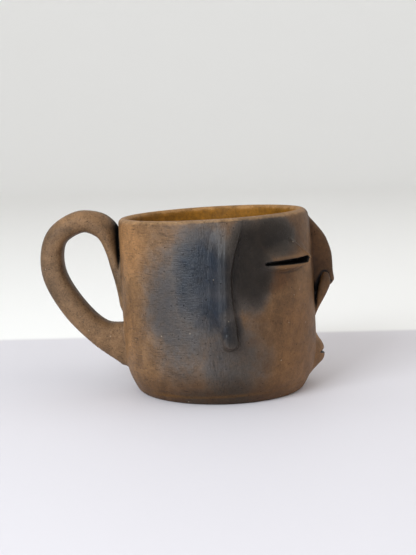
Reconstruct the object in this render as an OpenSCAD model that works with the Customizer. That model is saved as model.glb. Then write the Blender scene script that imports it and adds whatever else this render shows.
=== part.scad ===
// Face mug: a hand-built clay cup with a coil handle and a face luted onto its wall.
// The face looks along -Y, the handle is at +Y, and the cup stands on the plane z = 0.
// Millimetres.

/* [Cup] */
// Radius of the belly, the widest part of the cup
belly_r = 45.3; // [42:0.1:49]
// Height of the widest part of the cup
belly_z = 40; // [35:1:45]
// How much the wall closes in between the belly and the rim
rim_closing = 0.9; // [0:0.1:2]
// Height of the rim
cup_h = 82.8; // [81:0.1:92]
// Height at which the wall starts to turn in to the foot
turn_z = 19; // [16:0.5:24]
// Radius of the turn from the wall into the foot
turn_arc_r = 33; // [30:0.5:45]
// Thickness of the wall and of the rim
wall_t = 5.4; // [4:0.1:7]
// Thickness of the floor, at the middle
floor_t = 6.5; // [5:0.1:9]
// Radius inside the cup between wall and floor
inner_turn_r = 8; // [5:0.5:10]
// Height of the coil that closes the rim
rim_coil_h = 5.4; // [4:0.1:8]
// How far the whole cup leans back towards the handle, in degrees
lean = 2.1; // [0:0.1:3]

/* [Handle] */
// Half the width of the handle across the hand
handle_half_w = 7.6; // [6:0.1:10]
// Thickness of the handle against the modelled one
handle_fat = 1; // [0.9:0.01:1.1]

/* [Nose] */
// How far the bridge of the nose stands out of the wall
nose_out = 9.9; // [7:0.1:13]
// Height of the most forward part of the bridge
nose_z = 55; // [53:0.5:57]
// Height at which the nose leaves the forehead
nose_top_z = 79; // [77:0.5:80]
// Half the thickness of the bridge
nose_half_w = 3.9; // [3:0.1:5]
// How far the nostrils spread from the middle of the face
nostril_x = 5.2; // [4:0.1:6.5]

/* [Ears] */
// Angle between the front of the face and the ear
ear_angle = 85; // [75:1:90]
// How far the ear stands out of the head
ear_out = 5; // [3:0.1:7]
// Half the thickness of the ear
ear_half_w = 2.6; // [2:0.1:4]
// Height of the top of the ear
ear_top_z = 80.5; // [76:0.5:81]
// Height of the bottom of the ear
ear_bottom_z = 26.5; // [24:0.5:34]

/* [Eyes] */
// Angle between the front of the face and the middle of the eye
eye_angle = 45; // [40:1:50]
// Half the angle that the eye takes up round the cup
eye_half_angle = 19; // [14:0.5:20]
// Height of the slit between the lids
eye_z = 61.3; // [58:0.1:64]
// Height of the slit between the lids at its widest
eye_slit = 1.9; // [1:0.1:3]
// How far the lids stand out
lid_out = 4; // [2.5:0.1:5]

/* [Mouth] */
// Half the angle that the mouth takes up round the cup
mouth_half_angle = 11; // [9:0.5:16]
// Height of the line between the lips
mouth_z = 14; // [13.5:0.1:16]
// Gap between the lips
mouth_slit = 0.9; // [0.5:0.1:1.5]
// How far the lips stand out
lip_out = 4.7; // [3:0.1:6]

/* [Hidden] */
$fn = 96;

clay_out = [0.42, 0.31, 0.22];
clay_dark = [0.28, 0.25, 0.24];
clay_rim = [0.62, 0.47, 0.33];

// The cup is drawn upright and then leans, so its foot is drawn this far below the table and cut off level.
below_table = 3;
wall_steps = 14;
barrel_r = pow(cup_h - belly_z, 2) / (2 * max(rim_closing, 0.01));
turn_top_r = belly_r - pow(belly_z - turn_z, 2) / (2 * barrel_r);
lip_r = wall_t / 2;
coil_z = cup_h - rim_coil_h;
slab_r = turn_top_r - wall_t - inner_turn_r;
roll_sides = 16;
curve_steps = 5;

// Outer radius of the cup at height z: a shallow barrel over one round turn into the foot.
function outer_r(z) =
    z < turn_z ? turn_top_r - turn_arc_r + sqrt(pow(turn_arc_r, 2) - pow(turn_z - z, 2))
               : belly_r - pow(z - belly_z, 2) / (2 * barrel_r);

// Directions and places on the wall. Angle 0 is the front of the face, 90 its right-hand side.
function outward(a) = [-sin(a), -cos(a), 0];
function around(a) = [-cos(a), sin(a), 0];
function on_wall(a, z, out) = (outer_r(z) + out) * outward(a) + [0, 0, z];

// Points along a smooth curve through knots, which may be vectors of any length.
function curve_point(p0, p1, p2, p3, t) =
    0.5 * (2 * p1 + (p2 - p0) * t + (2 * p0 - 5 * p1 + 4 * p2 - p3) * t * t
           + (3 * p1 - p0 - 3 * p2 + p3) * t * t * t);
function smooth_curve(knots, steps) =
    let (last = len(knots) - 1)
    [for (i = [0 : last - 1], s = [0 : steps - (i < last - 1 ? 1 : 0)])
        curve_point(knots[max(i - 1, 0)], knots[i], knots[i + 1], knots[min(i + 2, last)], s / steps)];

// How full a hand-rolled piece is at share t of its length: 1 in the middle, thin at both ends.
end_share = 0.12;
end_power = 0.6;
function fullness(t) = end_share + (1 - end_share) * pow(sin(180 * t), end_power);

// A roll of clay through stations of [centre, side direction, out direction, half width, half thickness].
// Side, out and the direction of travel are right-handed.
module clay_roll(stations) {
    n = len(stations);
    points = [for (s = stations, i = [0 : roll_sides - 1])
        let (t = 360 * i / roll_sides)
        s[0] + s[3] * cos(t) * s[1] + s[4] * sin(t) * s[2]];
    skin = [for (k = [0 : n - 2], i = [0 : roll_sides - 1])
        let (j = (i + 1) % roll_sides, a = k * roll_sides, b = (k + 1) * roll_sides)
        each [[a + i, b + i, b + j], [a + i, b + j, a + j]]];
    start = [for (i = [0 : roll_sides - 1]) i];
    finish = [for (i = [roll_sides - 1 : -1 : 0]) (n - 1) * roll_sides + i];
    polyhedron(points = points, faces = concat(skin, [start, finish]), convexity = 8);
}

// The cup as one solid, which the luted pieces are cut to so that they seat on its wall.
module cup_blank() {
    rotate_extrude()
        polygon(concat(
            [[0, cup_h], [0, -below_table]],
            [for (i = [0 : wall_steps]) let (z = -below_table + (turn_z + below_table) * i / wall_steps)
                [outer_r(z), z]],
            [for (i = [1 : wall_steps]) let (z = turn_z + (cup_h - turn_z) * i / wall_steps)
                [outer_r(z), z]]));
}

module leaning() {
    rotate([-lean, 0, 0]) children();
}

module seated_on_cup() {
    leaning()
        difference() {
            children();
            cup_blank();
        }
}

// Leans the foot and cuts it off level with the table.
module standing() {
    intersection() {
        leaning() children();
        translate([-belly_r * 2, -belly_r * 2, 0])
            cube([belly_r * 4, belly_r * 4, cup_h * 2]);
    }
}

module left_side() {
    mirror([1, 0, 0]) children();
}

module floor_slab() {
    color(clay_out)
        standing()
            translate([0, 0, -below_table])
                cylinder(r = slab_r, h = floor_t + below_table);
}

module cup_wall() {
    color(clay_dark)
        standing()
            rotate_extrude()
                polygon(concat(
                    [[slab_r, -below_table]],
                    [for (i = [0 : wall_steps]) let (z = -below_table + (turn_z + below_table) * i / wall_steps)
                        [outer_r(z), z]],
                    [for (i = [1 : wall_steps]) let (z = turn_z + (coil_z - turn_z) * i / wall_steps)
                        [outer_r(z), z]],
                    [for (i = [0 : wall_steps]) let (z = coil_z + (turn_z - coil_z) * i / wall_steps)
                        [outer_r(z) - wall_t, z]],
                    [for (i = [0 : wall_steps]) let (t = 90 * i / wall_steps)
                        [slab_r + inner_turn_r * cos(t), floor_t + inner_turn_r * (1 - sin(t))]]));
}

module rim_coil() {
    middle_r = outer_r(coil_z) - lip_r;
    color(clay_rim)
        leaning()
            rotate_extrude()
                polygon(concat(
                    [[middle_r - lip_r, coil_z], [middle_r + lip_r, coil_z]],
                    [for (i = [0 : wall_steps]) let (t = 180 * i / wall_steps)
                        [middle_r + lip_r * cos(t), cup_h - lip_r + lip_r * sin(t)]]));
}

// Knots of the handle's middle line: [distance from the axis, height, half thickness],
// from where it is smeared down the wall below the rim to where it is pressed on above the foot.
handle_knots = [
    [44.2, 43.0, 1.8], [46.0, 56.0, 2.8], [48.7, 68.0, 3.3], [52.8, 78.2, 4.8], [62.2, 82.2, 5.2],
    [74.4, 75.0, 5.2], [76.7, 59.2, 5.7], [68.7, 42.2, 6.0], [56.5, 28.8, 6.6], [43.5, 23.0, 11.0]
];
// Width of the handle where it meets the wall, against its width in the hand.
handle_root_share = 0.86;

module handle() {
    line = smooth_curve(handle_knots, curve_steps);
    last = len(line) - 1;
    color(clay_out)
        seated_on_cup()
            clay_roll([for (i = [0 : last])
                let (ahead = line[min(i + 1, last)] - line[max(i - 1, 0)],
                     along = [ahead[0], ahead[1]] / norm([ahead[0], ahead[1]]),
                     share = handle_root_share + (1 - handle_root_share) * sin(180 * i / last))
                [[0, line[i][0], line[i][1]], [1, 0, 0], [0, -along[1], along[0]],
                 handle_half_w * share, line[i][2] * handle_fat]]);
}

// Distance from the axis to the crest of the nose: an arc from the forehead to its most forward part,
// nearly straight to the tip, and a short underside.
nose_crest_r = outer_r(nose_z) + nose_out;
nose_tip_z = 48;
nose_base_z = 41;
nose_tip_forward = 0.6;
nose_undercut = 5;
nose_undercut_power = 1.6;
nose_base_share = 1.15;
nose_top_share = 0.75;
nose_arc_r = (pow(nose_top_z - nose_z, 2) + pow(nose_crest_r - outer_r(nose_top_z), 2))
             / (2 * (nose_crest_r - outer_r(nose_top_z)));
function nose_crest(z) =
    z > nose_z ? nose_crest_r - nose_arc_r + sqrt(pow(nose_arc_r, 2) - pow(z - nose_z, 2))
    : z > nose_tip_z ? nose_crest_r + nose_tip_forward * (nose_z - z) / (nose_z - nose_tip_z)
    : nose_crest_r + nose_tip_forward
      - nose_undercut * pow((nose_tip_z - z) / (nose_tip_z - nose_base_z), nose_undercut_power);

module nose_bridge() {
    steps = 20;
    sunk = 3;
    color(clay_out)
        seated_on_cup()
            clay_roll([for (i = [0 : steps])
                let (z = nose_base_z + (nose_top_z - nose_base_z) * i / steps,
                     back = outer_r(z) - sunk,
                     front = nose_crest(z),
                     w = nose_half_w * (nose_base_share + (nose_top_share - nose_base_share) * i / steps))
                [(front + back) / 2 * outward(0) + [0, 0, z], around(0), outward(0), w, (front - back) / 2]]);
}

// A teardrop from beside the tip of the nose down to the wall: knots of [out, across, height, half size].
module nostril() {
    tip_r = nose_crest_r - 1.6;
    knots = [
        [tip_r, nostril_x * 0.75, nose_tip_z + 2.2, 0.9],
        [tip_r - 1.4, nostril_x * 0.95, nose_tip_z - 1.5, 3.0],
        [tip_r - 4.2, nostril_x * 1.05, nose_tip_z - 7.5, 3.1],
        [tip_r - 7.4, nostril_x * 0.85, nose_tip_z - 13.5, 1.9],
        [outer_r(nose_tip_z) - 0.6, nostril_x * 0.6, nose_tip_z - 17.5, 0.8]
    ];
    line = smooth_curve(knots, curve_steps);
    color(clay_out)
        seated_on_cup()
            clay_roll([for (i = [len(line) - 1 : -1 : 0])
                [line[i][0] * outward(0) + line[i][1] * around(0) + [0, 0, line[i][2]],
                 around(0), outward(0), line[i][3], line[i][3] * 0.95]]);
}

// The ear is a strip set on edge, and its top bends forward by this angle.
ear_top_bend = 3;
ear_lobe_share = 0.5;

module ear() {
    steps = 24;
    color(clay_dark)
        seated_on_cup()
            clay_roll([for (i = [0 : steps])
                let (t = i / steps,
                     z = ear_bottom_z + (ear_top_z - ear_bottom_z) * t,
                     a = ear_angle - ear_top_bend * pow(t, 3),
                     full = fullness(t))
                [on_wall(a, z, 0), around(a), outward(a),
                 ear_half_w * (ear_lobe_share + (1 - ear_lobe_share) * full), ear_out * full]]);
}

// A roll laid round the wall between two angles, centred on height z(t).
module level_roll(a0, a1, z, half_h, out) {
    steps = 18;
    seated_on_cup()
        clay_roll([for (i = [0 : steps])
            let (t = i / steps, a = a0 + (a1 - a0) * t, full = fullness(t))
            [on_wall(a, z, 0), [0, 0, -1], outward(a), half_h * full, out * full]]);
}

// How far the lower lid and the upper lip stand out, against the upper lid and the lower lip.
lower_lid_share = 0.8;
upper_lip_share = 0.9;

module upper_eyelid() {
    half_h = 4;
    color(clay_dark)
        level_roll(eye_angle - eye_half_angle, eye_angle + eye_half_angle,
                   eye_z + eye_slit / 2 + half_h, half_h, lid_out);
}

module lower_eyelid() {
    half_h = 2.6;
    color(clay_dark)
        level_roll(eye_angle - eye_half_angle, eye_angle + eye_half_angle,
                   eye_z - eye_slit / 2 - half_h, half_h, lid_out * lower_lid_share);
}

module upper_lip() {
    half_h = 3.9;
    color(clay_out)
        level_roll(-mouth_half_angle, mouth_half_angle, mouth_z + mouth_slit / 2 + half_h, half_h,
                   lip_out * upper_lip_share);
}

module lower_lip() {
    half_h = 4.2;
    color(clay_out)
        level_roll(-mouth_half_angle, mouth_half_angle, mouth_z - mouth_slit / 2 - half_h, half_h, lip_out);
}

floor_slab();
cup_wall();
rim_coil();
handle();
nose_bridge();
nostril();  // right_nostril
left_side() nostril();  // left_nostril
ear();  // right_ear
left_side() ear();  // left_ear
upper_eyelid();  // right_upper_eyelid
lower_eyelid();  // right_lower_eyelid
left_side() upper_eyelid();  // left_upper_eyelid
left_side() lower_eyelid();  // left_lower_eyelid
upper_lip();
lower_lip();
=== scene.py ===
# A hand-built face mug: a burnished, smoke-fired clay cup with a strap handle and a face luted onto its wall.
# Lengths are in mm on the potter's upright cup until leaned() takes them to metres on the standing one.
from math import atan2, cos, radians, sin

import bpy
import numpy as np
from mathutils import Matrix, Vector


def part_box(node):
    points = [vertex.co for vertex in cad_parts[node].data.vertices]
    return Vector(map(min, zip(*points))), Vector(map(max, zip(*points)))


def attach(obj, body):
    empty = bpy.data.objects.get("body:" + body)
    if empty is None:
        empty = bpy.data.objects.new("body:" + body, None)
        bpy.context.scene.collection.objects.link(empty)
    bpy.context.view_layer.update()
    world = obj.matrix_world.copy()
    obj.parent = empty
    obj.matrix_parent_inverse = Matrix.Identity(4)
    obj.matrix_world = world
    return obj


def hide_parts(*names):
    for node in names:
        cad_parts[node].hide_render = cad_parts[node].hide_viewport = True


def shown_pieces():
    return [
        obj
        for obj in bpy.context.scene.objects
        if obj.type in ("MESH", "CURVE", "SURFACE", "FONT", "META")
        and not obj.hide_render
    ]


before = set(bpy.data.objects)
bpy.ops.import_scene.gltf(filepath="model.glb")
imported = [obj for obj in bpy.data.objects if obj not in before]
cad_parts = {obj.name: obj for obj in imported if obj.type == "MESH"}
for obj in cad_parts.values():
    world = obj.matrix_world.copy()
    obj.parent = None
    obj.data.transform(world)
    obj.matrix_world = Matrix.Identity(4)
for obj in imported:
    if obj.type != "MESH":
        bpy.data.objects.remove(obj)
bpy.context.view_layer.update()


# ---- Floor slab and cup wall ----------------------------------------------------------------
# The floor is a flat disc of earthenware and the wall is built up on it, scraped and turned in to
# the foot. The cup is a shallow barrel over one round turn, slightly uneven, and it leans back.

def mm_box(node):
    """The node's lowest and highest corners, in mm."""
    return [np.array(corner) * 1000 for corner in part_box(node)]


wall_box, rim_box = mm_box("cup_wall"), mm_box("rim_coil")
rim_middle = (rim_box[0] + rim_box[1]) / 2
LEAN = atan2(rim_middle[1], rim_middle[2])
BELLY_R = wall_box[1][0]
BELLY_Z = 40.0
CUP_H = 82.8
COIL_Z = CUP_H - 5.4                # where the rim coil sits on the wall
WALL_T = 5.4
FLOOR_T = 6.5
INNER_TURN_R = 8.0                  # round corner between wall and floor, inside
TURN_Z = 19.0                       # the wall starts to turn in to the foot below this
TURN_ARC_R = 33.0
BARREL_SAG = 0.9                    # how much narrower the cup is at the rim than at the belly
BARREL_R = (CUP_H - BELLY_Z) ** 2 / (2 * BARREL_SAG)
TURN_TOP_R = BELLY_R - (BELLY_Z - TURN_Z) ** 2 / (2 * BARREL_R)
TURN_MIDDLE_R = TURN_TOP_R - TURN_ARC_R
SLAB_R = TURN_TOP_R - WALL_T - INNER_TURN_R


def barrel(z):
    """The wall's outer radius above the turn."""
    return BELLY_R - (z - BELLY_Z) ** 2 / (2 * BARREL_R)


def ramp(a, b, t):
    """0 below a, 1 above b, and smooth between them."""
    s = np.clip((t - a) / (b - a), 0, 1)
    return s * s * (3 - 2 * s)


def hand_wobble(x, y, z):
    """How far the potter's hand left the surface from true, in mm."""
    slow = 0.20 * np.sin(0.085 * x + 0.041 * z + 1.3) * np.sin(0.071 * y - 0.052 * z + 0.4)
    middling = 0.13 * np.sin(0.16 * y + 0.13 * z + 2.1) * np.sin(0.19 * x - 0.07 * z)
    quick = 0.06 * np.sin(0.37 * z + 0.21 * x + 0.5) * np.sin(0.33 * x + 0.29 * y + 1.9)
    pinched_rim = -1.0 * ramp(76, 84, z) * ramp(0, 40, -y)
    return slow + middling + quick + pinched_rim


def wall_gap(x, y, z):
    """Distance outside the cup's wall in mm; negative in the clay."""
    r = np.hypot(x, y)
    turned = np.hypot(r - TURN_MIDDLE_R, z - TURN_Z) - TURN_ARC_R
    return np.where(z < TURN_Z, turned, r - barrel(z)) - hand_wobble(x, y, z)


def soft_max(a, b, k):
    """The larger of a and b, with a round corner of about k mm where they cross."""
    h = np.clip(0.5 + 0.5 * (a - b) / k, 0, 1)
    return b + (a - b) * h + k * h * (1 - h)


def soft_min(a, b, k):
    """The smaller of a and b, with the same round corner."""
    return -soft_max(-a, -b, k)


FOOT_EDGE = 1.2


def leaned(points):
    """From the potter's upright cup to the cup as it stands, in metres, with the foot pressed flat."""
    x, y, z = points.T
    tilted_y = y * cos(LEAN) + z * sin(LEAN)
    tilted_z = z * cos(LEAN) - y * sin(LEAN)
    return np.stack([x, tilted_y, soft_max(tilted_z, 0 * z, FOOT_EDGE)], -1) * 0.001


upright_points = {}


def clay_object(name, points, faces, sharp_angle=50):
    """A piece of clay from its points on the upright cup. Edges sharper than the angle stay crisp."""
    mesh = bpy.data.meshes.new(name)
    mesh.from_pydata(leaned(points).tolist(), [], faces)
    upright_points[name] = points
    mesh.shade_smooth()
    mesh.set_sharp_from_angle(angle=radians(sharp_angle))
    piece = bpy.data.objects.new(name, mesh)
    bpy.context.collection.objects.link(piece)
    return piece


def spaced(outline, step):
    """The closed outline's corners, with points added so that none is further apart than step."""
    out = []
    for a, b in zip(outline, np.roll(outline, -1, axis=0)):
        n = max(1, int(np.ceil(np.hypot(*(b - a)) / step)))
        out += [a + (b - a) * i / n for i in range(n)]
    return np.array(out)


def coiled_round(name, outline, around=480, closed=True):
    """Carries an (r, z) outline round the cup's axis and lets the hand wobble show."""
    turn = np.linspace(0, 2 * np.pi, around, endpoint=False)
    r, z = outline.T
    x = np.outer(np.sin(turn), r)
    y = np.outer(np.cos(turn), r)
    z = np.tile(z, (around, 1))
    wobble = hand_wobble(x, y, z)
    push = wobble * np.clip(z / 6, 0, 1)
    out_x = np.outer(np.sin(turn), np.ones_like(r))
    out_y = np.outer(np.cos(turn), np.ones_like(r))
    points = np.stack([x + push * out_x, y + push * out_y, z], -1).reshape(-1, 3)
    n = len(outline)
    i = np.arange(around)[:, None]
    j = np.arange(n)[None, :] if closed else np.arange(n - 1)[None, :]
    here, up = i * n + j, i * n + (j + 1) % n
    over, over_up = (i + 1) % around * n + j, (i + 1) % around * n + (j + 1) % n
    faces = np.stack([here, up, over_up, over], -1).reshape(-1, 4)
    return clay_object(name, points, faces.tolist())


def arc(middle_r, middle_z, radius, start, stop, steps):
    """Points (r, z) along an arc; angles in degrees, 0 pointing away from the axis."""
    turn = np.radians(np.linspace(start, stop, steps))
    return np.stack([middle_r + radius * np.cos(turn), middle_z + radius * np.sin(turn)], -1)


def wire(tree, value, socket):
    """Joins an output to an input, or sets the input to a plain value."""
    if isinstance(value, bpy.types.NodeSocket):
        tree.links.new(value, socket)
    else:
        socket.default_value = value


def maths(tree, operation, *values, clamp=False):
    """One sum on outputs or plain numbers."""
    node = tree.nodes.new("ShaderNodeMath")
    node.operation, node.use_clamp = operation, clamp
    for value, socket in zip(values, node.inputs):
        wire(tree, value, socket)
    return node.outputs[0]


def faded(tree, value, start, stop, low=0.0, high=1.0):
    """low where value is at start or before it, high at stop, and smooth between them."""
    node = tree.nodes.new("ShaderNodeMapRange")
    node.interpolation_type = "SMOOTHSTEP"
    for socket, v in zip(node.inputs, (value, start, stop, low, high)):
        wire(tree, v, socket)
    return node.outputs[0]


def tinted(tree, share, under, over, blend="MIX"):
    """Lays a colour over another, as much as share says."""
    node = tree.nodes.new("ShaderNodeMix")
    node.data_type, node.blend_type = "RGBA", blend
    for name, value in (("Factor", share), ("A", under), ("B", over)):
        socket = next(s for s in node.inputs if s.name == name and s.enabled)
        wire(tree, (*value, 1) if isinstance(value, tuple) and len(value) == 3 else value, socket)
    return next(s for s in node.outputs if s.enabled)


def mottle(tree, place, scale, detail=3.0, roughness=0.55, distortion=0.0):
    """Cloudy unevenness from 0 to 1, about 0.5."""
    node = tree.nodes.new("ShaderNodeTexNoise")
    for name, value in (("Vector", place), ("Scale", scale), ("Detail", detail), ("Roughness", roughness),
                        ("Distortion", distortion)):
        wire(tree, value, node.inputs[name])
    return node.outputs[0]


def joined(tree, x, y, z):
    """Three numbers as one place or one grey."""
    node = tree.nodes.new("ShaderNodeCombineXYZ")
    for socket, value in zip(node.inputs, (x, y, z)):
        wire(tree, value, socket)
    return node.outputs[0]


def effect(name, takes, gives):
    """A shader node group with named number inputs and outputs."""
    group = bpy.data.node_groups.new(name, "ShaderNodeTree")
    for label, default in takes.items():
        socket = group.interface.new_socket(label, in_out="INPUT", socket_type="NodeSocketFloat")
        socket.default_value = default
    for label in gives:
        group.interface.new_socket(label, in_out="OUTPUT", socket_type="NodeSocketFloat")
    inlet, outlet = group.nodes.new("NodeGroupInput"), group.nodes.new("NodeGroupOutput")
    return group, inlet.outputs, outlet.inputs


def use(tree, group, **values):
    """Places a node group and gives back its outputs. An underscore stands for a space."""
    node = tree.nodes.new("ShaderNodeGroup")
    node.node_tree = group
    for label, value in values.items():
        wire(tree, value, node.inputs[label.replace("_", " ")])
    return node.outputs


MM = 1000.0
DEGREES = 57.2958
WALL_MM = 0.79                      # mm along the wall for each degree round it


def build_place():
    """Where a point is on the upright cup: turn from the face in degrees, height and radius in mm."""
    group, _, out = effect("Place on the cup", {}, ("Turn", "Height", "Radius"))
    coordinates = group.nodes.new("ShaderNodeTexCoord").outputs["Object"]
    split = group.nodes.new("ShaderNodeSeparateXYZ")
    wire(group, coordinates, split.inputs[0])
    x, y, z = [maths(group, "MULTIPLY", o, MM) for o in split.outputs]
    y_cos, y_sin = (maths(group, "MULTIPLY", y, part(LEAN)) for part in (cos, sin))
    z_cos, z_sin = (maths(group, "MULTIPLY", z, part(LEAN)) for part in (cos, sin))
    back = maths(group, "SUBTRACT", y_cos, z_sin)
    height = maths(group, "ADD", z_cos, y_sin)
    turn = maths(group, "ARCTAN2", maths(group, "MULTIPLY", x, -1.0), maths(group, "MULTIPLY", back, -1.0))
    wire(group, maths(group, "MULTIPLY", turn, DEGREES), out["Turn"])
    wire(group, height, out["Height"])
    across = maths(group, "ADD", maths(group, "MULTIPLY", x, x), maths(group, "MULTIPLY", back, back))
    wire(group, maths(group, "SQRT", across), out["Radius"])
    return group


def build_cloud():
    """One cloud that the fire left: 1 in its middle, fading raggedly to 0."""
    takes = {"Turn": 0, "Height": 0, "Middle turn": 90, "Middle height": 40, "Half turn": 20,
             "Half height": 20, "Ragged": 0.5}
    group, take, out = effect("Cloud", takes, ("Mask",))
    around = maths(group, "MULTIPLY", take["Turn"], WALL_MM)
    flat = joined(group, around, take["Height"], take["Middle turn"])
    rag = maths(group, "SUBTRACT", mottle(group, flat, 0.055, 7.0, 0.62, 0.3), 0.5)
    side = maths(group, "SUBTRACT", take["Turn"], take["Middle turn"])
    side = maths(group, "DIVIDE", side, take["Half turn"])
    up = maths(group, "SUBTRACT", take["Height"], take["Middle height"])
    up = maths(group, "DIVIDE", up, take["Half height"])
    far = maths(group, "SQRT", maths(group, "ADD", maths(group, "MULTIPLY", side, side),
                                     maths(group, "MULTIPLY", up, up)))
    ragged = maths(group, "ADD", far, maths(group, "MULTIPLY", rag, take["Ragged"]))
    wire(group, faded(group, ragged, 1.2, 0.25), out["Mask"])
    return group


on_cup = build_place()
cloud = build_cloud()


# What the fire left on the mug, and two clouds of painted shade. Each cloud: turn and height of its middle,
# half its turn, half its height and its strength.
SMOKE_CLOUDS = (
    (97, 56, 28, 34, 1.0), (72, 62, 19, 28, 1.0), (56, 74, 26, 13, 0.80), (112, 44, 34, 46, 0.58),
    (86, 20, 30, 30, 0.55), (84, 34, 10, 13, 0.80), (96, 3, 44, 11, 0.42), (-80, 34, 40, 30, 0.9),
    (-120, 62, 26, 22, 0.6), (-22, 72, 24, 14, 0.6))
ORANGE_FLASHES = (
    (154, 72, 24, 18, 0.9), (30, 36, 24, 16, 0.50), (26, 12, 44, 22, 0.50), (173, 88, 16, 10, 0.70),
    (160, 30, 20, 20, 0.35), (-28, 40, 24, 22, 0.6), (-150, 24, 26, 22, 0.7))
# Two brown clouds are painted shade: (98, 2) darkens the wall low round the foot where it turns under, and
# (4, 64) darkens the side of the nose bridge.
BROWN_CLOUDS = (
    (56, 73, 34, 15, 1.0), (58, 54, 24, 9, 1.0), (4, 64, 16, 24, 0.8), (70, 60, 18, 26, 0.8),
    (98, 2, 74, 15, 1.0), (48, 28, 52, 32, 0.50), (-55, 56, 20, 20, 0.6))


def build_firing_and_shade():
    """Every smoke cloud, every clean orange flash and every brown cloud; most brown ones are scorching, two
    are painted shade.
    """
    group, _, out = effect("Firing_and_shade", {}, ("Smoke", "Flash", "Brown"))
    place = use(group, on_cup)

    def clouds(rows):
        most = 0.0
        for turn, height, half_turn, half_height, strength in rows:
            mask = use(group, cloud, Turn=place["Turn"], Height=place["Height"],
                       Middle_turn=turn, Middle_height=height,
                       Half_turn=half_turn, Half_height=half_height)["Mask"]
            most = maths(group, "MAXIMUM", most, maths(group, "MULTIPLY", mask, strength))
        return most

    wire(group, clouds(SMOKE_CLOUDS), out["Smoke"])
    wire(group, clouds(ORANGE_FLASHES), out["Flash"])
    wire(group, clouds(BROWN_CLOUDS), out["Brown"])
    return group


def build_burnish():
    """Fine marks of the burnishing pebble, the clay's grain, small pits and pale grit, all from 0 to 1."""
    takes = {"Upright strokes": 0.0}
    group, take, out = effect("Burnished clay", takes, ("Strokes", "Grain", "Pits", "Grit"))
    place = use(group, on_cup)
    around = maths(group, "MULTIPLY", place["Turn"], WALL_MM)
    height = place["Height"]
    stretched = joined(group, maths(group, "MULTIPLY", around, 0.16), height, place["Radius"])
    level = mottle(group, stretched, 1.9, 3.0, 0.6)
    stretched = joined(group, around, maths(group, "MULTIPLY", height, 0.14), place["Radius"])
    upright = mottle(group, stretched, 1.7, 3.0, 0.6)
    share = take["Upright strokes"]
    level = maths(group, "MULTIPLY", level, maths(group, "SUBTRACT", 1.0, share))
    strokes = maths(group, "ADD", level, maths(group, "MULTIPLY", upright, share))
    worked = faded(group, place["Turn"], 62.0, 96.0, 0.22, 1.0)
    strokes = maths(group, "MULTIPLY", maths(group, "SUBTRACT", strokes, 0.5), worked)
    wire(group, maths(group, "ADD", strokes, 0.5), out["Strokes"])
    coordinates = group.nodes.new("ShaderNodeTexCoord").outputs["Object"]
    wire(group, mottle(group, coordinates, 1100.0, 3.0, 0.75), out["Grain"])
    for label, scale, size, seldom in (("Pits", 800.0, 0.34, 0.88), ("Grit", 300.0, 0.12, 0.90)):
        dots = group.nodes.new("ShaderNodeTexVoronoi")
        wire(group, coordinates, dots.inputs["Vector"])
        wire(group, scale, dots.inputs["Scale"])
        split = group.nodes.new("ShaderNodeSeparateColor")
        wire(group, dots.outputs["Color"], split.inputs[0])
        chosen = maths(group, "GREATER_THAN", split.outputs[0], seldom)
        dot = faded(group, dots.outputs["Distance"], size, size * 0.3)
        wire(group, maths(group, "MULTIPLY", dot, chosen), out[label])
    return group


firing_and_shade = build_firing_and_shade()
burnish = build_burnish()


SCORCH_AND_SHADE = (0.40, 0.32, 0.23)         # multiplies the clay's colour where it is scorched brown, and as painted shade round the foot and on the nose bridge
SMOKE_GREY = (0.074, 0.061, 0.052)
# Smoke black, tinted blue as a painted reflection of the window on the handle's side of the ears.
SMOKE_BLACK_AND_SHEEN = (0.008, 0.012, 0.019)
WARM_BLACK = (0.011, 0.009, 0.007)  # on the face, in front of the ears
# Painted shade in the creases, slits and holes, and the black of the pits.
SHADE_AND_PIT_BLACK = (0.003, 0.0025, 0.002)
PALE_GRIT = (0.46, 0.38, 0.28)
BUMP_HEIGHT = 0.0003


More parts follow.
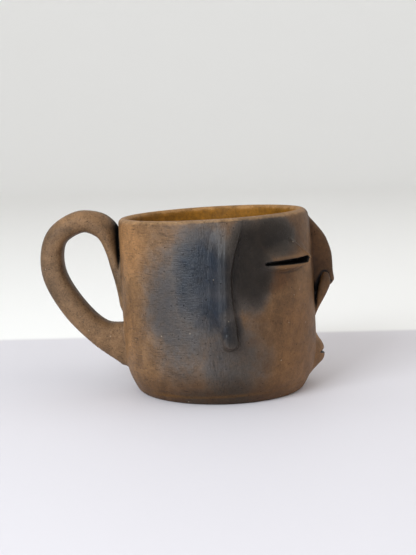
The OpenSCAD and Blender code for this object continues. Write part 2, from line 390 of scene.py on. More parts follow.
def fired_clay(name, brown, tan, flash, smoke_share=1.0, inside=None, lip=None, pale_below=None):
    """Burnished earthenware out of a smoky fire. Colours are for bare brown clay, tan clay and an orange
    flash. inside is the stained clay within the cup, lip the wiped one on the rim's top. pale_below is
    (start, stop) of the heights where the clay gets paler downwards."""
    material = bpy.data.materials.new(name)
    material.use_nodes = True
    tree = material.node_tree
    shader = tree.nodes["Principled BSDF"]
    place = use(tree, on_cup)
    fire = use(tree, firing_and_shade)
    marks = use(tree, burnish, Upright_strokes=faded(tree, place["Turn"], 112, 92))
    coordinates = tree.nodes.new("ShaderNodeTexCoord").outputs["Object"]
    patches = faded(tree, mottle(tree, coordinates, 46.0, 4.0, 0.6), 0.36, 0.64)
    small_patches = faded(tree, mottle(tree, coordinates, 210.0, 4.0, 0.65), 0.3, 0.7)

    # Bare clay and its orange flashes.
    colour = tinted(tree, patches, brown, tan)
    colour = tinted(tree, maths(tree, "MULTIPLY", fire["Flash"], 0.9), colour, flash)
    if pale_below is not None:
        ragged = maths(tree, "ADD", place["Height"], maths(tree, "MULTIPLY", patches, 8.0))
        low = faded(tree, ragged, *pale_below)
        colour = tinted(tree, maths(tree, "MULTIPLY", low, 0.25), colour, flash)

    # Smoke: grey where it is thin, black where it is thick, and scorched brown beside it, with painted shade
    # in the brown round the foot and on the nose bridge. Behind the ears the black is tinted blue, a painted
    # reflection of the window.
    speckle = maths(tree, "MULTIPLY", maths(tree, "SUBTRACT", small_patches, 0.5), 0.16)
    smoke = maths(tree, "ADD", maths(tree, "MULTIPLY", fire["Smoke"], smoke_share), speckle)
    colour = tinted(tree, faded(tree, smoke, 0.02, 0.62), colour, SMOKE_GREY)
    black_and_sheen = tinted(tree, faded(tree, place["Turn"], 92, 80), SMOKE_BLACK_AND_SHEEN, WARM_BLACK)
    black_and_sheen = tinted(tree, maths(tree, "MULTIPLY", patches, 0.25), black_and_sheen, SMOKE_GREY)
    colour = tinted(tree, faded(tree, smoke, 0.36, 0.94), colour, black_and_sheen)
    colour = tinted(tree, fire["Brown"], colour, SCORCH_AND_SHADE, "MULTIPLY")
    rough = faded(tree, smoke, 0.1, 0.9, 0.52, 0.32)

    # The inside is stained, darker towards the floor. The rim's top is wiped pale.
    if inside is not None:
        darker, darkest = (tuple(c * share for c in inside) for share in (0.74, 0.5))
        within = maths(tree, "MULTIPLY", faded(tree, place["Radius"], 42.2, 40.6),
                       faded(tree, place["Height"], 3.0, 5.0))
        stained = tinted(tree, patches, inside, darker)
        stained = tinted(tree, faded(tree, place["Height"], 45.0, 4.0, 0.0, 0.45), stained, darkest)
        colour = tinted(tree, within, colour, stained)
        rough = maths(tree, "ADD", rough, maths(tree, "MULTIPLY", within, 0.12))
    if lip is not None:
        ragged = maths(tree, "ADD", place["Height"], maths(tree, "MULTIPLY", small_patches, 0.7))
        on_lip = faded(tree, ragged, 81.3, 82.6)
        colour = tinted(tree, maths(tree, "MULTIPLY", on_lip, 0.5), colour, lip)

    # Burnishing strokes, grain, pits and grit darken and lighten the clay.
    grain = maths(tree, "MULTIPLY", maths(tree, "SUBTRACT", marks["Grain"], 0.5), 1.1)
    scored = faded(tree, marks["Strokes"], 0.44, 0.32, 0.0, 0.26)
    shade = maths(tree, "ADD", 0.38, maths(tree, "MULTIPLY", small_patches, 0.42))
    shade = maths(tree, "ADD", shade, maths(tree, "MULTIPLY", marks["Strokes"], 0.80))
    shade = maths(tree, "SUBTRACT", maths(tree, "ADD", shade, grain), scored)
    colour = tinted(tree, 1.0, colour, joined(tree, shade, shade, shade), "MULTIPLY")
    colour = tinted(tree, maths(tree, "MULTIPLY", marks["Pits"], 0.5), colour, SHADE_AND_PIT_BLACK)
    colour = tinted(tree, maths(tree, "MULTIPLY", marks["Grit"], 0.5), colour, PALE_GRIT)

    # Painted shade in the creases, slits and holes, and rubbed pale edges with a painted highlight along the
    # eyelids beside the slits, from the values stored on the mesh further down.
    painted_shade, edge = (tree.nodes.new("ShaderNodeAttribute") for _ in range(2))
    painted_shade.attribute_name, edge.attribute_name = "painted_shade", "edge"
    colour = tinted(tree, faded(tree, painted_shade.outputs["Fac"], 0.10, 0.85), colour, SHADE_AND_PIT_BLACK)
    colour = tinted(tree, maths(tree, "MULTIPLY", edge.outputs["Fac"], 0.35), colour, tan)
    wire(tree, colour, shader.inputs["Base Color"])

    # The pebble's polish, and the relief of its strokes.
    rough = maths(tree, "ADD", rough, maths(tree, "MULTIPLY", marks["Strokes"], 0.16))
    rough = maths(tree, "SUBTRACT", rough, 0.05)
    pitted = maths(tree, "MULTIPLY", marks["Pits"], 0.3)
    wire(tree, maths(tree, "ADD", rough, pitted, clamp=True), shader.inputs["Roughness"])
    relief = maths(tree, "ADD", marks["Strokes"], maths(tree, "MULTIPLY", marks["Grain"], 0.35))
    relief = maths(tree, "SUBTRACT", relief, maths(tree, "MULTIPLY", marks["Pits"], 0.9))
    relief = maths(tree, "ADD", relief, maths(tree, "MULTIPLY", small_patches, 0.5))
    bump = tree.nodes.new("ShaderNodeBump")
    bump.inputs["Strength"].default_value = 0.75
    bump.inputs["Distance"].default_value = BUMP_HEIGHT
    wire(tree, relief, bump.inputs["Height"])
    wire(tree, bump.outputs["Normal"], shader.inputs["Normal"])
    shader.inputs["Specular IOR Level"].default_value = 0.24
    return material


# Brown, tan and orange flash.
CUP_CLAY = (0.120, 0.062, 0.026), (0.190, 0.100, 0.041), (0.275, 0.137, 0.052)
INSIDE_CLAY = (0.225, 0.092, 0.006)
cup_clay = fired_clay("cup clay", *CUP_CLAY, inside=INSIDE_CLAY)


BELOW = -3.0                        # the upright cup is made this far down, then pressed flat at 0
SKIN_STEP = 0.75
foot_angle = -np.degrees(np.arcsin((TURN_Z - BELOW) / TURN_ARC_R))
rise = np.linspace(TURN_Z, COIL_Z, 80)
wall_outline = np.concatenate([
    [[SLAB_R, BELOW]],
    arc(TURN_MIDDLE_R, TURN_Z, TURN_ARC_R, foot_angle, 0, 40)[:-1],
    np.stack([barrel(rise), rise], -1),
    np.stack([barrel(rise[::-1]) - WALL_T, rise[::-1]], -1),
    arc(SLAB_R, FLOOR_T + INNER_TURN_R, INNER_TURN_R, 0, -90, 16),
])
cup_wall = coiled_round("clay_cup_wall", spaced(wall_outline, SKIN_STEP))
cup_wall.data.materials.append(cup_clay)
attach(cup_wall, "root")
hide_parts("cup_wall")


def disc(name, radius, bottom, top, rings=42, around=240):
    """A flat disc of clay, closed at the middle above and below."""
    r = np.linspace(0, radius, rings)[1:]
    outline = np.concatenate([np.stack([r, np.full_like(r, bottom)], -1),
                              np.stack([r[::-1], np.full_like(r, top)], -1)])
    turn = np.linspace(0, 2 * np.pi, around, endpoint=False)
    x, y = np.outer(np.sin(turn), outline[:, 0]), np.outer(np.cos(turn), outline[:, 0])
    z = np.tile(outline[:, 1], (around, 1))
    points = np.concatenate([np.stack([x, y, z], -1).reshape(-1, 3), [[0, 0, bottom], [0, 0, top]]])
    n = len(outline)
    i = np.arange(around)[:, None]
    j = np.arange(n - 1)[None, :]
    k = (i + 1) % around
    skin = np.stack([i * n + j, i * n + j + 1, k * n + j + 1, k * n + j], -1).reshape(-1, 4)
    low, high = around * n, around * n + 1
    fans = [[low, a * n, b * n] for a, b in zip(range(around), np.roll(range(around), -1))]
    fans += [[high, b * n + n - 1, a * n + n - 1] for a, b in zip(range(around), np.roll(range(around), -1))]
    return clay_object(name, points, skin.tolist() + [[int(v) for v in fan] for fan in fans])


floor_slab = disc("clay_floor_slab", SLAB_R, BELOW, FLOOR_T)
floor_slab.data.materials.append(cup_clay)
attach(floor_slab, "root")
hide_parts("floor_slab")


# ---- Rim coil -------------------------------------------------------------------------------
# One coil of the same clay closes the wall. It is pinched thin and rounded into the lip with a wet
# finger, which leaves its top a little paler than the wall.
LIP_R = WALL_T / 2
rim_r = barrel(COIL_Z) - LIP_R
rim_outline = np.concatenate([
    [[rim_r - LIP_R, COIL_Z], [rim_r + LIP_R, COIL_Z]],
    arc(rim_r, CUP_H - LIP_R, LIP_R, 0, 180, 22),
])
rim_coil = coiled_round("clay_rim_coil", spaced(rim_outline, 0.5))
rim_coil.data.materials.append(fired_clay(
    "rim clay", *CUP_CLAY, inside=INSIDE_CLAY, lip=(0.33, 0.19, 0.085)))
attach(rim_coil, "root")
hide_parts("rim_coil")


# ---- Handle ---------------------------------------------------------------------------------
# A thick strap of clay, round outside and flat inside. It is smeared down the wall below the rim,
# arched over the rim's height and pressed on above the foot, where it flares.

def smooth_line(knots, steps):
    """Points along a smooth curve through the knots."""
    k = np.vstack([knots[0], knots, knots[-1]])
    out = []
    for p0, p1, p2, p3 in zip(k, k[1:], k[2:], k[3:]):
        for t in np.arange(steps) / steps:
            out.append(0.5 * (2 * p1 + (p2 - p0) * t + (2 * p0 - 5 * p1 + 4 * p2 - p3) * t * t
                              + (3 * p1 - p0 - 3 * p2 + p3) * t ** 3))
    return np.array(out + [k[-1]])


def eased(at, knots):
    """Reads a smooth curve through (place, value) knots."""
    line = smooth_line(np.array(knots, float), 10)
    return np.interp(at, line[:, 0], line[:, 1])


def along(line, a, b):
    """For each (a, b): the nearest place on the line, as (distance to its left, share of its length)."""
    start, step = line[:-1, :2], np.diff(line[:, :2], axis=0)
    best = np.full(a.shape, 1e9)
    side, share = np.zeros(a.shape), np.zeros(a.shape)
    for n, (s, d) in enumerate(zip(start, step)):
        t = ((a - s[0]) * d[0] + (b - s[1]) * d[1]) / (d @ d)
        t = np.clip(t, 0, 1)
        da, db = a - s[0] - t * d[0], b - s[1] - t * d[1]
        far = np.hypot(da, db)
        near = far < best
        best = np.where(near, far, best)
        side = np.where(near, np.where(d[0] * db - d[1] * da > 0, far, -far), side)
        share = np.where(near, (n + t) / len(step), share)
    return side, share


HANDLE_HALF_W = 7.6
HANDLE_TWIST = 0.26
# Along the strap from the wall under the rim to the foot: y, z and half the thickness.
handle_knots = np.array([
    [44.2, 43.0, 1.8], [46.0, 56.0, 2.8], [48.7, 68.0, 3.3], [52.8, 78.2, 4.8], [62.2, 82.2, 5.2],
    [74.4, 75.0, 5.2], [76.7, 59.2, 5.7], [68.7, 42.2, 6.0], [56.5, 28.8, 6.6], [43.5, 23.0, 11.0]])
handle_line = smooth_line(handle_knots, 8)


def handle_gap(x, y, z):
    """Distance to the strap: flat on the finger's side, rounder outside, slightly twisted at its top."""
    twisted = y + HANDLE_TWIST * (x + HANDLE_HALF_W) * ramp(60, 76, z) * ramp(0, 12, 62 - y)
    side, share = along(handle_line, twisted, z)
    thick = np.interp(share, np.linspace(0, 1, len(handle_line)), handle_line[:, 2])
    wide = HANDLE_HALF_W * (0.86 + 0.14 * np.sin(np.pi * share))
    power = np.where(side > 0, 2.2, 2.8)
    across, out = np.abs(x) / wide, np.abs(side) / thick
    size = np.maximum((across ** power + out ** power) ** (1 / power), 0.05)
    slope = np.hypot((across / size) ** (power - 1) / wide, (out / size) ** (power - 1) / thick)
    return (size - 1) / slope


def skin_of(field, low, high, step):
    """The clay's skin: four-sided faces on the surface where field(x, y, z) is 0, inside low..high."""
    axes = [np.arange(a, b + step, step) for a, b in zip(low, high)]
    value = field(*np.meshgrid(*axes, indexing="ij"))
    n = np.array(value.shape)
    corner = [(i, j, k) for i in (0, 1) for j in (0, 1) for k in (0, 1)]
    cells = np.stack([value[i:n[0] - 1 + i, j:n[1] - 1 + j, k:n[2] - 1 + k] for i, j, k in corner], -1)
    inside = (cells < 0).sum(-1)
    crossed = (inside > 0) & (inside < 8)
    number = np.full(crossed.shape, -1)
    number[crossed] = np.arange(crossed.sum())
    held = cells[crossed]
    total, count = np.zeros((len(held), 3)), np.zeros((len(held), 1))
    for a in range(8):
        for b in range(a + 1, 8):
            if sum(p != q for p, q in zip(corner[a], corner[b])) != 1:
                continue
            cut = (held[:, a] < 0) != (held[:, b] < 0)
            share = np.where(cut, held[:, a] / np.where(cut, held[:, a] - held[:, b], 1), 0)[:, None]
            place = np.array(corner[a]) + share * (np.array(corner[b]) - np.array(corner[a]))
            total += place * cut[:, None]
            count += cut[:, None]
    points = (np.argwhere(crossed) + total / count) * step + np.array([a[0] for a in axes])
    faces = []
    for axis in range(3):
        u, v = (axis + 1) % 3, (axis + 2) % 3
        ahead = np.take(value, range(1, n[axis]), axis)
        behind = np.take(value, range(0, n[axis] - 1), axis)
        edge = np.argwhere((ahead < 0) != (behind < 0))
        edge = edge[(edge[:, u] > 0) & (edge[:, v] > 0) & (edge[:, u] < n[u] - 1) & (edge[:, v] < n[v] - 1)]
        around = []
        for du, dv in ((-1, -1), (0, -1), (0, 0), (-1, 0)):
            cell = edge.copy()
            cell[:, u] += du
            cell[:, v] += dv
            around.append(number[tuple(cell.T)])
        quads = np.stack(around, -1)
        flip = behind[tuple(edge.T)] > 0
        quads[flip] = quads[flip][:, ::-1]
        faces.append(quads)
    return points, np.concatenate(faces)


def slope_of(field, points, reach=0.05):
    """How fast the field changes along x, y and z at each point."""
    x, y, z = points.T
    return np.stack([field(x + reach, y, z) - field(x - reach, y, z),
                     field(x, y + reach, z) - field(x, y - reach, z),
                     field(x, y, z + reach) - field(x, y, z - reach)], -1) / (2 * reach)


def smoothed_down(field, points, faces, step, rounds=4):
    """Evens out the skin's points and puts them back on the surface."""
    ends = np.concatenate([faces[:, [0, 1]], faces[:, [1, 2]], faces[:, [2, 3]], faces[:, [3, 0]]])
    degree = np.bincount(ends.ravel(), minlength=len(points))[:, None]
    for _ in range(rounds):
        pull = np.stack([np.bincount(ends[:, 0], points[ends[:, 1], a], len(points))
                         + np.bincount(ends[:, 1], points[ends[:, 0], a], len(points)) for a in range(3)], -1)
        eased = points * 0.5 + pull / np.maximum(degree, 1) * 0.5
        for _ in range(2):
            slope = slope_of(field, eased)
            size = np.maximum((slope ** 2).sum(-1, keepdims=True), 0.1)
            off = field(*eased.T)[:, None] * slope / size
            eased = eased - np.clip(off, -step / 2, step / 2)
        points = eased
    return points


PROUD = 0.03                        # keeps a piece's skin clear of the wall's own
SUNK = 0.9                          # how far its back is pressed into the wall
luted = []


def lute(name, shape, low, high, step, k, keep=None):
    """Makes one piece of clay on the wall. k is the fillet's size in mm, a number or a field, or None for
    a shape that already runs into the wall. keep is negative where this piece's clay is its own."""
    def smeared(x, y, z):
        wall = wall_gap(x, y, z)
        own = shape(x, y, z)
        piece = own + PROUD
        if k is not None:
            blend = k(x, y, z) if callable(k) else k
            piece = np.maximum(soft_min(own, wall, blend) + PROUD, own - blend - 0.1)
        piece = soft_max(piece, -(wall + SUNK), 0.2)
        return piece if keep is None else soft_max(piece, keep(x, y, z), 0.15)

    points, faces = skin_of(smeared, low, high, step)
    points = smoothed_down(smeared, points, faces, step)
    luted.append((name, shape, k))
    piece = clay_object(name, points, faces.tolist(), 60)
    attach(piece, "root")
    return piece


def handle_lute(x, y, z):
    """The handle's fillet: wide where it is smeared down under the rim, and above the foot."""
    smeared_top = 3.0 * np.clip((66 - z) / 14, 0, 1) * np.clip((z - 34) / 6, 0, 1)
    return 0.7 + smeared_top + 1.2 * np.clip((24 - z) / 10, 0, 1)


handle = lute("clay_handle", handle_gap, (-15, 40, 2), (15, 87, 91), 0.55, handle_lute,
              lambda x, y, z: 42.5 - y)
handle.data.materials.append(fired_clay(
    "handle clay", (0.080, 0.046, 0.023), (0.152, 0.088, 0.044), (0.26, 0.140, 0.062), smoke_share=0.5,
    pale_below=(58.0, 30.0)))
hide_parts("handle")


# ---- Nose -----------------------------------------------------------------------------------
# A thin slip of clay set on edge makes the bridge, from the forehead to the tip. Two teardrop wings
# are pinched onto its sides, a hole is pricked beside each, and a knife cuts a crease behind it.

def face_turn(x, y):
    """Angle from the front of the face, in degrees, positive towards its right side."""
    return np.degrees(np.arctan2(-x, -y))


NOSE_HALF_W = 3.9
# The bridge's edge from the lip up to the rim: height, and distance from the axis.
nose_knots = [[40, 43.0], [43.4, 48.8], [45.6, 53.3], [47.0, 54.9], [48.4, 55.4], [51.7, 55.0], [57.7, 54.9],
              [61.5, 54.5], [65.9, 53.2], [68.8, 52.0], [72.2, 49.8], [76.7, 46.2], [79.5, 43.6], [84, 37.0]]


def nose_crest(z):
    """How far the bridge's edge is from the axis at each height."""
    return eased(z, nose_knots) - 1.5 * np.clip(nose_knots[0][0] - z, 0, 30)


def bridge_gap(x, y, z):
    """Distance to the bridge, thinner towards the brow and towards its edge."""
    half_w = NOSE_HALF_W * (0.92 - 0.30 * np.clip((z - 48) / 30, 0, 1))
    half_w = half_w * (1 - 0.18 * np.clip((-y - 46) / 9, 0, 1))
    return np.maximum(soft_max(np.abs(x) - half_w, (-y - nose_crest(z)) * 0.85, 3.0), y + 30)


def bead_gap(x, y, z, beads, flat=1.0):
    """Distance to a string of round beads of changing size: beads are (x, y, z, radius)."""
    best = np.full(np.shape(x), 1e9)
    for (ax, ay, az, ar), (bx, by, bz, br) in zip(beads, beads[1:]):
        dx, dy, dz = bx - ax, by - ay, bz - az
        t = np.clip(((x - ax) * dx + (y - ay) * dy + (z - az) * dz) / (dx * dx + dy * dy + dz * dz), 0, 1)
        gap = np.sqrt(((x - ax - t * dx) / flat) ** 2 + (y - ay - t * dy) ** 2 + (z - az - t * dz) ** 2)
        best = np.minimum(best, gap - ar - t * (br - ar))
    return best


# Beads are (x, y, z, radius).
wing_beads = smooth_line(np.array([
    [4.6, -50.8, 50.6, 1.6], [5.3, -50.3, 47.6, 2.7], [5.6, -48.8, 43.8, 2.6],
    [5.0, -47.3, 39.8, 2.0], [4.2, -46.0, 36.0, 1.3], [3.2, -45.0, 32.6, 0.8]]), 3)
hole_beads = np.array([[4.3, -56.0, 44.8, 0.9], [3.8, -54.0, 47.2, 1.2]])
crease_beads = np.array([[5.6, -47.4, 51.6, 0.5], [5.8, -46.9, 48.0, 0.95], [5.6, -46.2, 44.0, 1.1],
                         [5.0, -45.6, 40.0, 0.8]])
septum_beads = [(0, -51.0, 47.0, 2.6), (0, -47.0, 42.0, 2.2), (0, -44.6, 37.5, 1.5)]


def pricked_gap(x, y, z):
    """The nostril hole and the knife's crease behind each wing."""
    return np.minimum(bead_gap(np.abs(x), y, z, hole_beads), bead_gap(np.abs(x), y, z, crease_beads))


def nose_gap(x, y, z):
    """Distance to the whole nose. Bridge and wings are parts of this one shape."""
    bridge = soft_min(bridge_gap(x, y, z), bead_gap(x, y, z, septum_beads), 1.5)
    wings = bead_gap(np.abs(x), y, z, wing_beads)
    nose = soft_min(bridge, wings, 1.0)
    return soft_max(nose, -pricked_gap(x, y, z), 0.4)


def not_wing(x, y, z):
    """Negative in the bridge's share of the nose."""
    return np.abs(x) - 3.1 - np.clip(z - 52.5, 0, 20) * 2


def wing_side(side):
    """Negative in one wing's share of the nose."""
    return lambda x, y, z: np.maximum(2.9 - side * x, z - 53.2)


face_clay = fired_clay("face clay", *CUP_CLAY)
NOSE_LUTE = 0.9
nose_bridge = lute("clay_nose_bridge", nose_gap, (-9, -60, 27), (9, -38, 84), 0.4, NOSE_LUTE, not_wing)
nose_bridge.data.materials.append(face_clay)
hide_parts("nose_bridge")
for side, word in ((-1, "right"), (1, "left")):
    low_x, high_x = sorted((side * 1.5, side * 11.5))
    wing = lute(f"clay_{word}_nostril", nose_gap, (low_x, -60, 27), (high_x, -38, 56), 0.35, NOSE_LUTE,
                wing_side(side))
    wing.data.materials.append(face_clay)
    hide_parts(f"{word}_nostril")


# ---- Ears -----------------------------------------------------------------------------------
# A long strip of clay set on edge on each side of the head. Its back is smeared into the wall, and
# its front drops sharply into a dark crease. It ends in a rounded lobe.
EAR_OUT = 4.8
EAR_HIGH_Z = 82.0
EAR_TURN = 85.0
LOBE_Z = 30.0
WALL_SLOPE = radians(BELLY_R)       # mm along the wall for each degree, at the belly


def ear_crest(z):
    """Turn of the strip's edge, in degrees from the front of the face."""
    return eased(z, [[24, 86.0], [34, 86.6], [46, 86.0], [57, 85.4], [67, 84.8], [76, 83.0], [84, 81.0]])


def ear_height(x, y, z):
    """How far the ear stands out of the wall."""
    reach = (ear_crest(z) - np.abs(face_turn(x, y))) * WALL_SLOPE
    band = eased(z, [[24, 4.4], [34, 4.2], [45, 2.6], [57, 1.9], [66, 3.2], [76, 5.2], [84, 6.0]])
    lobe = ramp(5.4, 2.6, np.hypot(reach - 0.9, z - LOBE_Z)) - 1
    full = (1 + lobe * ramp(LOBE_Z + 5, LOBE_Z, z)) * (1 - 0.85 * ramp(66, EAR_HIGH_Z, z))
    back = ramp(-8.5 + 4 * ramp(44, 32, z), -0.5, reach) - 0.10 * np.exp(-((reach + 2.2) / 0.8) ** 2)
    front = 1 - ramp(band - 0.6, band + 1.1, reach)
    top = 1 - 0.18 * np.clip(reach / band, 0, 1)
    return EAR_OUT * full * back * front * top


def ear_gap(x, y, z):
    """Less than the distance to the ear, so that it holds on the steep front too."""
    return (wall_gap(x, y, z) - ear_height(x, y, z)) * 0.55


def ear_only(x, y, z):
    """Negative in the ear's patch of the wall, from below its lobe to the rim."""
    reach = (EAR_TURN - np.abs(face_turn(x, y))) * WALL_SLOPE
    return np.maximum(np.abs(reach) - 11, np.maximum(24.5 - z, z - 81.5))


for side, word in ((-1, "right"), (1, "left")):
    low_x, high_x = sorted((side * 38, side * 53))
    ear = lute(f"clay_{word}_ear", ear_gap, (low_x, -19, 23), (high_x, 14, 83), 0.4, None, ear_only)
    ear.data.materials.append(face_clay)
    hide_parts(f"{word}_ear")


# ---- Eyelids --------------------------------------------------------------------------------
# Two rolls of clay over each eye, pressed together at the corners with a slit left between them.
# They stand out most beside the nose, and the upper one carries the brow.
EYE_TURN = 47.0
EYE_Z = 61.6
EYE_R = 49.0                        # the lids' own distance from the axis
SLIT_START = -12.4                  # the slit's ear end, in mm from its middle
SLIT_L = 23.0
LID_OUT = 4.8
PRESSED = 0.15                      # how far two pieces are pressed into each other


def eye_place(x, y, z):
    """Millimetres from the middle of the slit, along it towards the nose and up."""
    return (EYE_TURN - np.abs(face_turn(x, y))) * radians(EYE_R), z - EYE_Z


def slit_gap(run, up):
    """A cut that starts thin at the ear end and ends round and open beside the nose."""
    share = np.clip((run - SLIT_START) / SLIT_L, 0, 1)
    return np.hypot(run - SLIT_START - SLIT_L * share, up) - 0.50 - 0.85 * share ** 0.7


def lid_arch(run):
    """How tall the lids are along the slit, as a share of their full height."""
    return np.sqrt(np.clip(1 - ((run - 2) / 19) ** 2, 0.05, 1))


def lid_height(x, y, z):
    """How far the lids stand out, with the brow's fold over the upper one."""
    run, up = eye_place(x, y, z)
    rise = ramp(-19, 6, run) * (1 - ramp(13.2, 18.2, run))
    arch = lid_arch(run)
    upper = (1 - ramp(-2, 10.5, up / arch)) * 1.12
    lower = 0.90 * (1 - ramp(2.5, 4.7, -up / arch))
    fold_share = np.clip((run - 3) / 9, 0, 1)
    fold = (0.55 * np.exp(-((up - 9.5 + 7.5 * fold_share ** 1.5) / 0.8) ** 2)
            * ramp(1, 5, run) * (1 - ramp(13, 15.5, run)))
    return LID_OUT * rise * np.where(up > 0, upper, lower) + fold


def eye_gap(x, y, z):
    """Distance to both lids, with the slit cut between them."""
    mound = (wall_gap(x, y, z) - lid_height(x, y, z)) * 0.7
    return soft_max(mound, -slit_gap(*eye_place(x, y, z)), 0.5)


def lid_side(sign):
    """Negative in the upper (1) or lower (-1) lid's share of the eye."""
    def gap(x, y, z):
        run, up = eye_place(x, y, z)
        return np.maximum(-sign * up - PRESSED, np.maximum(np.abs(run + 0.4) - 18.8, np.abs(up) - 12))
    return gap


for side, word in ((-1, "right"), (1, "left")):
    low_x, high_x = sorted((side * 14, side * 52))
    for lid, sign in (("upper", 1), ("lower", -1)):
        half = (EYE_Z - 1, EYE_Z + 14) if sign > 0 else (EYE_Z - 14, EYE_Z + 1)
        piece = lute(f"clay_{word}_{lid}_eyelid", eye_gap, (low_x, -52, half[0]), (high_x, -8, half[1]),
                     0.4, None, lid_side(sign))
        piece.data.materials.append(face_clay)
        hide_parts(f"{word}_{lid}_eyelid")


def cut_slits(piece, depth=2.6):
    """Pushes the wall's skin in behind the slits, as deep as the knife went."""
    x, y, z = upright_points[piece.name].T
    cut = ramp(0.35, -0.35, slit_gap(*eye_place(x, y, z))) * (wall_gap(x, y, z) > -1)
    shrink = 1 - depth * cut / np.hypot(x, y)
    upright_points[piece.name] = np.stack([x * shrink, y * shrink, z], -1)
    piece.data.vertices.foreach_set("co", leaned(upright_points[piece.name]).astype(np.float32).ravel())
    piece.data.update()


cut_slits(cup_wall)


# ---- Lips -----------------------------------------------------------------------------------
# Two short rolls of clay just above the foot, smeared onto the wall and pushed together into a
# pout, with a small slit left between them.
MOUTH_Z = 14.0
MOUTH_HALF_W = 8.5
MOUTH_SLIT = (5.2, 0.95)            # half its width and half its height
# How far the pout stands out at each height.
pout_knots = [[1, 0.0], [4.5, 1.2], [7, 2.6], [9.6, 4.4], [11.8, 4.8], [14, 4.4], [16.4, 3.9], [18.6, 2.8],
              [20.8, 1.3], [23.5, 0.0]]


def lip_height(x, y, z):
    """How far the lips stand out of the wall. They narrow in an arc to the mouth's corners."""
    across = np.clip(np.abs(x) / MOUTH_HALF_W, 0, 1)
    arch = np.sqrt(np.clip(1 - 0.8 * across ** 2, 0.05, 1))
    pout = eased(np.clip(MOUTH_Z + (z - MOUTH_Z) / arch, pout_knots[0][0], pout_knots[-1][0]), pout_knots)
    return pout * (1 - across ** 2) ** 1.2 * (y < 0)


def mouth_slit_gap(x, y, z):
    half_w, half_h = MOUTH_SLIT
    return soft_max(np.abs(z - MOUTH_Z) - half_h * (1 - (x / half_w) ** 2), 46.6 + y, 0.5)


def mouth_gap(x, y, z):
    """Distance to both lips, with the slit cut between them."""
    mound = (wall_gap(x, y, z) - lip_height(x, y, z)) * 0.75
    return soft_max(mound, -mouth_slit_gap(x, y, z), 0.4)


def lip_side(sign):
    """Negative in the upper (1) or lower (-1) lip's share of the mouth."""
    def gap(x, y, z):
        patch = np.maximum(np.abs(x) - 11, np.abs(z - 13.5) - 11.5)
        return np.maximum(sign * (MOUTH_Z - z) - PRESSED, patch)
    return gap


for word, sign in (("upper", 1), ("lower", -1)):
    half = (MOUTH_Z - 1, 27) if sign > 0 else (1, MOUTH_Z + 1)
    lip = lute(f"clay_{word}_lip", mouth_gap, (-12.5, -52, half[0]), (12.5, -38, half[1]), 0.35, None,
               lip_side(sign))
    lip.data.materials.append(face_clay)
    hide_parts(f"{word}_lip")


# ---- Firing, painted shade and rubbed edges -------------------------------------------------
# The whole mug is fired once. Painted shade darkens its creases, slits and holes, and hands and the
# pebble rub its edges pale. Both are stored on the clay as numbers from 0 to 1, which every clay material
# reads.
SHADE_REACH = (1.1, 2.8)             # how far out from the clay other clay is looked for, to paint shade
RUB_REACH = 1.3
GAP_SLOPE = 0.55                    # the least that any piece's field rises for each mm
OUTSIDE = -0.6                      # this far into the wall, nothing is stored
ALL_CLEAR = 99.0
TURNED_PIECES = ("clay_cup_wall", "clay_rim_coil")
RUBBED_PIECES = ("clay_handle", "clay_nose_bridge")
cuts = (lambda x, y, z: slit_gap(*eye_place(x, y, z)), mouth_slit_gap, pricked_gap)


def whole_gap(x, y, z, but=()):
    """Distance to all of the clay, or to all but some of its pieces."""
    gap = np.full(np.shape(x), ALL_CLEAR) if "wall" in but else wall_gap(x, y, z)
    for name, shape, k in luted:
        if name in but:
            continue
        other = shape(x, y, z)
        gap = np.minimum(gap, other) if k is None else soft_min(gap, other, k(x, y, z) if callable(k) else k)
    return gap


def outward(piece, points):
    """The way out of the clay at each point, on the upright cup."""
    if piece.name in TURNED_PIECES:
        return points * (1, 1, 0) / np.maximum(np.hypot(points[:, 0], points[:, 1]), 1)[:, None]
    normals = np.zeros(len(points) * 3, np.float32)
    piece.data.vertex_normals.foreach_get("vector", normals)
    x, y, z = normals.reshape(-1, 3).T
    return np.stack([x, y * cos(LEAN) - z * sin(LEAN), z * cos(LEAN) + y * sin(LEAN)], -1)


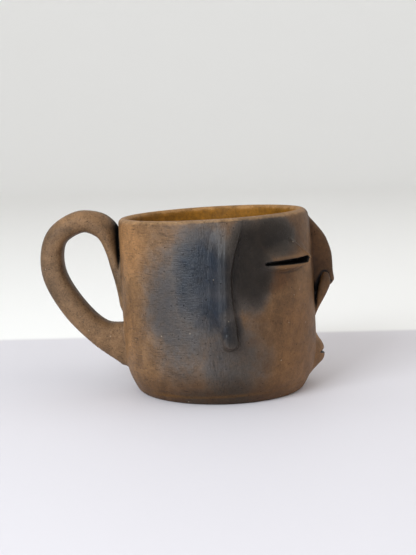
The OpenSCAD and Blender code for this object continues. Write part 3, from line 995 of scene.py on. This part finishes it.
def store_shade_and_rubbing(piece):
    """Stores painted shade for creases, slits and holes, and rubbed edges with a painted highlight beside the
    eye slits, on the piece's points.
    """
    points = upright_points[piece.name]
    out = outward(piece, points)
    if piece.name in TURNED_PIECES:
        outside = ramp(-0.15, -0.03, wall_gap(*points.T))
        but = ("wall",)
    else:
        outside = wall_gap(*points.T) > OUTSIDE
        but = ("clay_handle",) if piece.name == "clay_handle" else ()
    shade_share = np.zeros(len(points))
    for reach in SHADE_REACH:
        ahead = whole_gap(*(points + out * reach).T, but)
        shade_share += np.clip(1 - ahead / (reach * GAP_SLOPE), 0, 1) / len(SHADE_REACH)
    rub_and_highlight = np.zeros(len(points))
    if piece.name in RUBBED_PIECES:
        behind = whole_gap(*(points - out * RUB_REACH).T)
        rub_and_highlight = np.clip(1 + behind / (RUB_REACH * GAP_SLOPE), 0, 1)
    shade_share, rub_and_highlight = shade_share * outside, rub_and_highlight * outside
    # Painted shade fills the eye slits, the mouth's slit, the nostril holes and the creases behind the wings.
    # It is not held to the outside, so it also darkens the wall's inner face behind the eye slits.
    for gap in cuts:
        shade_share = np.maximum(shade_share, ramp(0.45, 0.05, gap(*points.T)))

    # A painted shadow under each lower lid, and a painted highlight along the lids beside the slit.
    run, up = eye_place(*points.T)
    lid = ramp(-14, 0, run) * ramp(16.5, 12, run) * outside
    under = (up / lid_arch(run) + 4.9) / 0.8
    beside = (slit_gap(run, up) - 1.2) / 0.6
    shade_share = np.maximum(shade_share, 0.5 * lid * np.exp(-under ** 2))
    rub_and_highlight = np.maximum(rub_and_highlight, 0.9 * lid * np.exp(-beside ** 2))
    for name, values in (("painted_shade", shade_share), ("edge", rub_and_highlight)):
        layer = piece.data.attributes.new(name, "FLOAT", "POINT")
        layer.data.foreach_set("value", values.astype(np.float32))


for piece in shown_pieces():
    if piece.name in upright_points:
        store_shade_and_rubbing(piece)


# ---- Studio ---------------------------------------------------------------------------------
# A matt pale table that curves up into an off-white wall all round. Daylight comes from a window by
# the handle, with softer light from the ceiling and from the room in front of the face.
TABLE_PALE = (0.71, 0.685, 0.71)
WALL_PALE = (0.95, 0.94, 0.91)
TABLE_EDGE = (0.122, 0.134)         # in metres behind the mug


def sweep_material():
    """Matt paint in two pale shades that meet at the table's edge."""
    material = bpy.data.materials.new("studio sweep")
    material.use_nodes = True
    tree = material.node_tree
    shader = tree.nodes["Principled BSDF"]
    split = tree.nodes.new("ShaderNodeSeparateXYZ")
    wire(tree, tree.nodes.new("ShaderNodeTexCoord").outputs["Object"], split.inputs[0])
    behind = faded(tree, split.outputs[0], *TABLE_EDGE)
    wire(tree, tinted(tree, behind, TABLE_PALE, WALL_PALE), shader.inputs["Base Color"])
    shader.inputs["Roughness"].default_value = 0.6
    return material


def bowl(name, flat_r, bend_r, top, around=128):
    """A round table top that curves up into a wall all the way round."""
    turn = np.radians(np.linspace(0, 90, 20))
    section = [(flat_r * share, 0.0) for share in (0.05, 0.2, 0.4, 0.6, 0.8)]
    section += [(flat_r + bend_r * sin(t), bend_r * (1 - cos(t))) for t in turn]
    section += [(flat_r + bend_r, top)]
    points = [(0.0, 0.0, 0.0)] + [(r * cos(a), r * sin(a), z) for r, z in section
                                  for a in np.linspace(0, 2 * np.pi, around, endpoint=False)]
    faces = [(0, 1 + i, 1 + (i + 1) % around) for i in range(around)]
    for ring in range(len(section) - 1):
        low, high = 1 + ring * around, 1 + (ring + 1) * around
        faces += [(low + a, high + a, high + b, low + b)
                  for a, b in zip(range(around), np.roll(range(around), -1).tolist())]
    mesh = bpy.data.meshes.new(name)
    mesh.from_pydata(points, [], faces)
    mesh.shade_smooth()
    mesh.materials.append(sweep_material())
    sheet = bpy.data.objects.new(name, mesh)
    bpy.context.collection.objects.link(sheet)
    return sheet


bpy.context.scene.view_settings.view_transform = "Standard"     # the default one greys the clay
table = bowl("table_and_wall", 1.7, 0.6, 1.5)


def window(name, place, aim, size, power, colour):
    """A soft rectangular light: place, aim and size in metres, power in watts."""
    light = bpy.data.lights.new(name, "AREA")
    light.shape = "RECTANGLE"
    light.size, light.size_y = size
    light.energy, light.color = power, colour
    holder = bpy.data.objects.new(name, light)
    bpy.context.collection.objects.link(holder)
    holder.location = place
    holder.rotation_euler = (Vector(aim) - Vector(place)).to_track_quat("-Z", "Y").to_euler()


MUG_MIDDLE = (0, 0, 0.04)
window("window", (-0.95, 0.72, 0.55), MUG_MIDDLE, (0.7, 0.9), 19, (0.87, 0.94, 1.0))
window("room", (-0.35, -1.05, 0.75), MUG_MIDDLE, (1.2, 1.2), 4.0, (1.0, 0.96, 0.90))
window("ceiling", (0.1, 0.1, 1.7), MUG_MIDDLE, (2.4, 2.4), 10.0, (1.0, 0.99, 0.97))
world = bpy.data.worlds.new("room light")
world.use_nodes = True
sky = world.node_tree.nodes["Background"]
sky.inputs["Color"].default_value = (0.97, 0.98, 1, 1)
sky.inputs["Strength"].default_value = 0.45
bpy.context.scene.world = world

CAMERA_AIM = Vector((0, 0.0061, 0.0519))
CAMERA_PLACE = Vector((-0.4956, 0.0061, 0.1184))
CAMERA_ROLL = radians(1.4)
camera_data = bpy.data.cameras.new("camera")
camera_data.lens, camera_data.sensor_width = 68.5, 36
camera = bpy.data.objects.new("camera", camera_data)
bpy.context.collection.objects.link(camera)
ahead = (CAMERA_AIM - CAMERA_PLACE).normalized()
level = ahead.to_track_quat("-Z", "Y").to_matrix().to_4x4()
camera.matrix_world = Matrix.Translation(CAMERA_PLACE) @ Matrix.Rotation(CAMERA_ROLL, 4, ahead) @ level
bpy.context.scene.camera = camera
